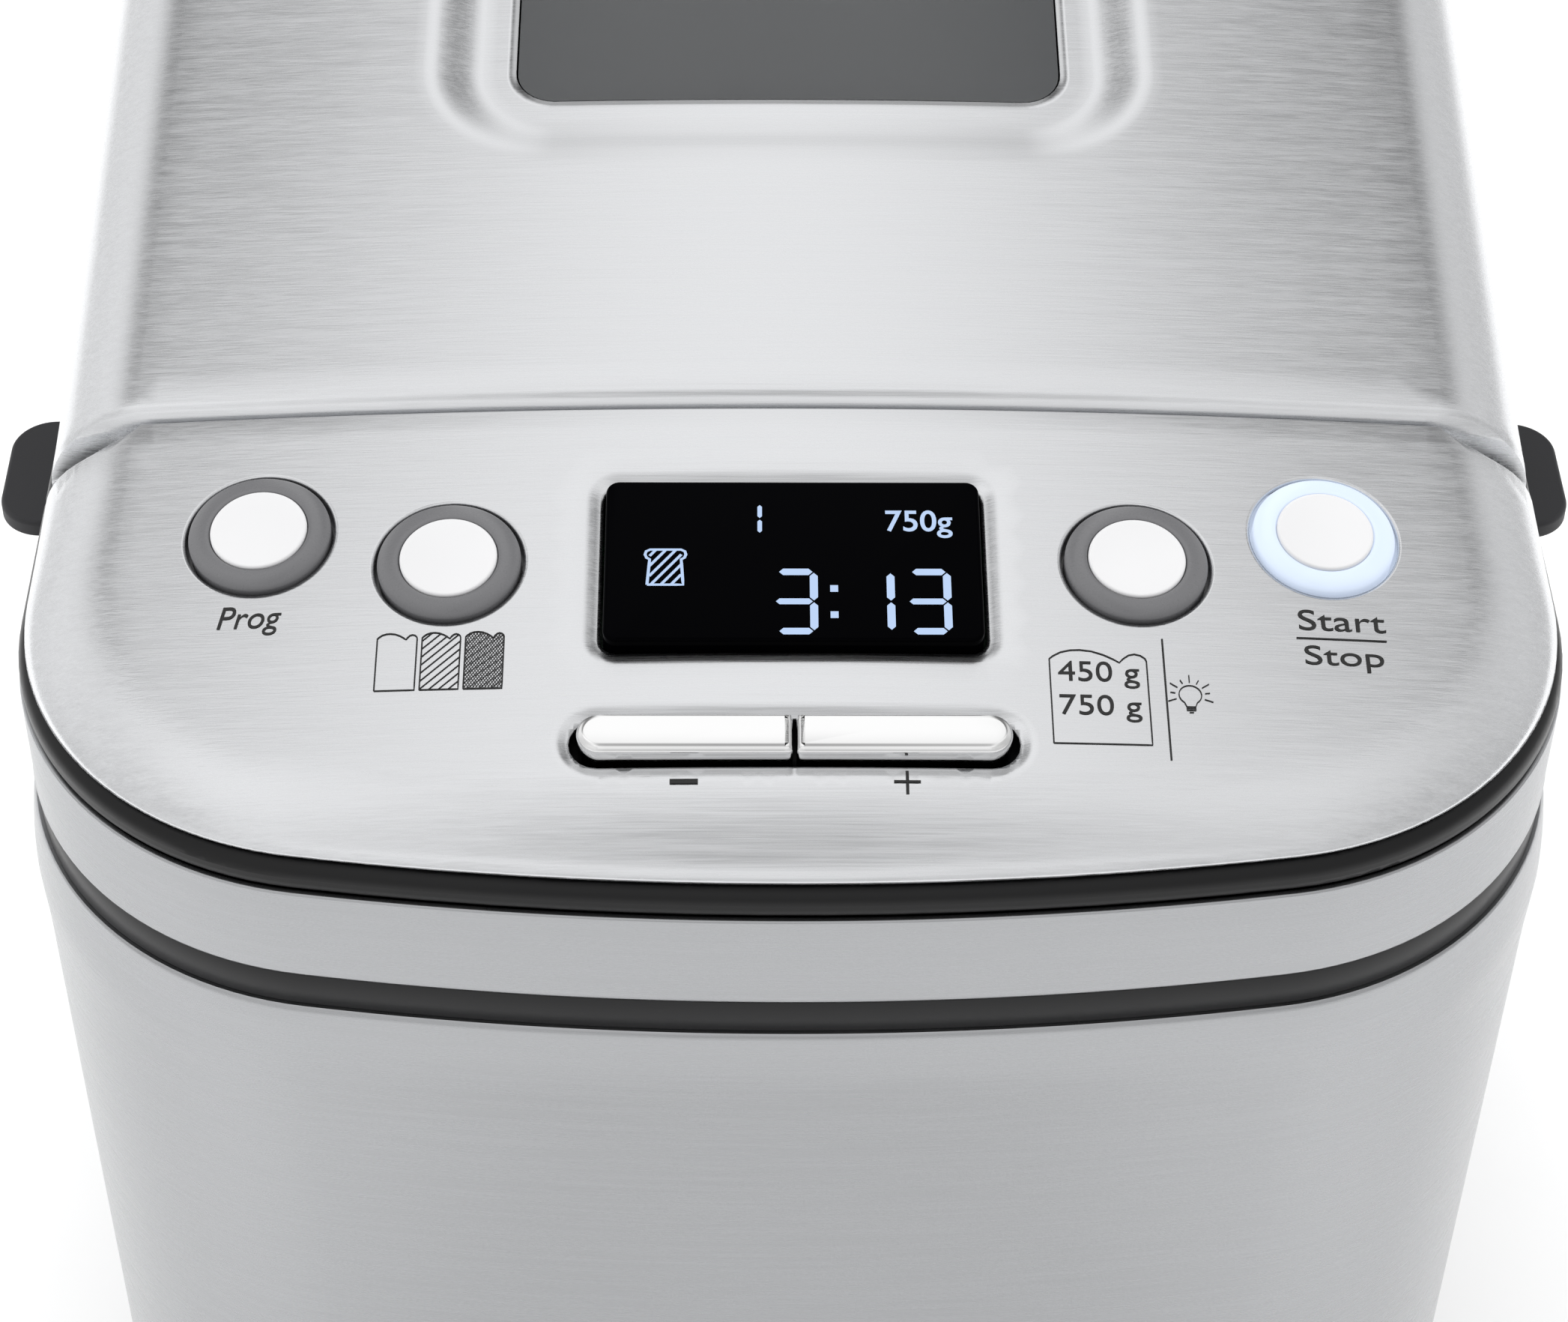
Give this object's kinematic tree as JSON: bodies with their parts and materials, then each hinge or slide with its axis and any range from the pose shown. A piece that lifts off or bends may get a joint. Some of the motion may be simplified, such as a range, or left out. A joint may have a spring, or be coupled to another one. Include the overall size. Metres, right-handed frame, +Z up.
{
  "type": "bread machine",
  "caption": "Compact countertop bread machine with sloped control cover, hinged windowed lid, sprung buttons, lift-out pan and belt-driven kneading paddle.",
  "frame": {"origin": "centre of the bounding box in plan, on the surface the feet stand on", "axes": "+Z up, the front with the controls faces -Y, +X to the right of a person facing it"},
  "size_m": [0.257, 0.3526, 0.2809],
  "materials": {
    "brushed_steel": "satin",
    "black_trim": "satin",
    "grip_plastic": "matte",
    "base_plastic": "matte",
    "rubber": "matte",
    "steel_hardware": "satin",
    "display_glass": "gloss",
    "circuit_board": "satin",
    "chrome": "gloss",
    "button_ring": "gloss",
    "button_cap": "matte",
    "chamber_steel": "satin",
    "silicone": "matte",
    "heater_sheath": "matte",
    "lamp_glass": "gloss",
    "nonstick": "matte",
    "bush_metal": "satin",
    "bail_wire": "gloss",
    "window_glass": "gloss"
  },
  "bodies": {
    "housing": {"body_shell": "brushed_steel", "base_plate": "base_plastic", "rubber_feet": "rubber", "base_screws": "steel_hardware", "lower_band": "black_trim", "upper_band": "brushed_steel", "front_trim": "black_trim", "side_grip_left": "grip_plastic", "side_grip_right": "grip_plastic", "cord_gland": "base_plastic", "control_cover": "brushed_steel", "display_lens": "display_glass", "lcd_module": "display_glass", "button_carrier": "base_plastic", "control_board": "circuit_board", "tact_switches": "circuit_board", "power_board": "circuit_board", "m3_screws": "steel_hardware", "chamber_liner": "chamber_steel", "top_deck": "black_trim", "chamber_gasket": "silicone", "heater_element": "heater_sheath", "temperature_sensor": "heater_sheath", "chamber_lamp": "lamp_glass", "pan_seat": "chamber_steel", "drive_chassis": "chamber_steel", "motor_case": "chamber_steel", "drive_belt": "rubber", "drive_bearing": "steel_hardware", "hinge_brackets": "black_trim", "hinge_pins": "steel_hardware"},
    "lid": {"lid_skin": "brushed_steel", "lid_trim": "black_trim", "lid_liner": "chamber_steel", "lid_screws": "steel_hardware", "window_glass": "window_glass", "inner_window": "window_glass", "window_gasket": "silicone", "hinge_knuckles": "black_trim"},
    "prog_button": {"prog_button_ring": "button_ring", "prog_button_cap": "button_cap"},
    "option_button": {"option_button_ring": "button_ring", "option_button_cap": "button_cap"},
    "loaf_size_button": {"loaf_size_button_ring": "button_ring", "loaf_size_button_cap": "button_cap"},
    "start_button": {"start_button_ring": "button_ring", "start_button_cap": "button_cap"},
    "minus_key": {"key_minus": "chrome"},
    "plus_key": {"key_plus": "chrome"},
    "drive_train": {"drive_shaft": "steel_hardware", "drive_pulley": "base_plastic"},
    "motor_spindle": {"motor_rotor": "steel_hardware", "motor_pulley": "base_plastic"},
    "pan": {"bread_pan": "nonstick", "pan_base": "nonstick", "pan_bush": "bush_metal"},
    "bail": {"pan_bail": "bail_wire"},
    "mixing_shaft": {"pan_shaft": "steel_hardware"},
    "paddle": {"kneading_paddle": "nonstick"}
  },
  "joints": [
    {"name": "lid_hinge", "type": "hinge", "parent": "housing", "child": "lid", "pos_m": [0, 0.1706, 0.23965], "axis": [-1, 0, 0], "range_deg": [0, 95]},
    {"name": "prog_press", "type": "slide", "parent": "housing", "child": "prog_button", "axis": [0.0547, 0.1665, -0.9845], "range_m": [0, 0.001], "stiffness_N_per_m": 600, "springref_m": -0.001},
    {"name": "option_press", "type": "slide", "parent": "housing", "child": "option_button", "axis": [0.0351, 0.1667, -0.9854], "range_m": [0, 0.001], "stiffness_N_per_m": 600, "springref_m": -0.001},
    {"name": "loaf_size_press", "type": "slide", "parent": "housing", "child": "loaf_size_button", "axis": [-0.0351, 0.1667, -0.9854], "range_m": [0, 0.001], "stiffness_N_per_m": 600, "springref_m": -0.001},
    {"name": "start_press", "type": "slide", "parent": "housing", "child": "start_button", "axis": [-0.0547, 0.1665, -0.9845], "range_m": [0, 0.001], "stiffness_N_per_m": 600, "springref_m": -0.001},
    {"name": "minus_press", "type": "slide", "parent": "housing", "child": "minus_key", "axis": [0, 0.1668, -0.986], "range_m": [0, 0.001], "stiffness_N_per_m": 600, "springref_m": -0.001},
    {"name": "plus_press", "type": "slide", "parent": "housing", "child": "plus_key", "axis": [0, 0.1668, -0.986], "range_m": [0, 0.001], "stiffness_N_per_m": 600, "springref_m": -0.001},
    {"name": "drive_spin", "type": "hinge", "parent": "housing", "child": "drive_train", "pos_m": [0, 0.02, 0.036], "axis": [0, 0, 1], "continuous": true},
    {"name": "motor_spin", "type": "hinge", "parent": "housing", "child": "motor_spindle", "pos_m": [0, -0.132, 0.036], "axis": [0, 0, 1], "continuous": true},
    {"name": "pan_lift", "type": "slide", "parent": "housing", "child": "pan", "axis": [0, 0, 1], "range_m": [0, 0.028]},
    {"name": "bail_swing", "type": "hinge", "parent": "pan", "child": "bail", "pos_m": [0, 0.02, 0.204], "axis": [-1, 0, 0], "range_deg": [0, 20]},
    {"name": "mixing_spin", "type": "hinge", "parent": "pan", "child": "mixing_shaft", "pos_m": [0, 0.02, 0.09], "axis": [0, 0, 1], "continuous": true},
    {"name": "paddle_lift", "type": "slide", "parent": "mixing_shaft", "child": "paddle", "axis": [0, 0, 1], "range_m": [0, 0.02]}
  ],
  "couplings": [
    {"joint": "motor_spin", "follows": "drive_spin", "ratio": 6},
    {"joint": "mixing_spin", "follows": "drive_spin", "ratio": 1}
  ]
}
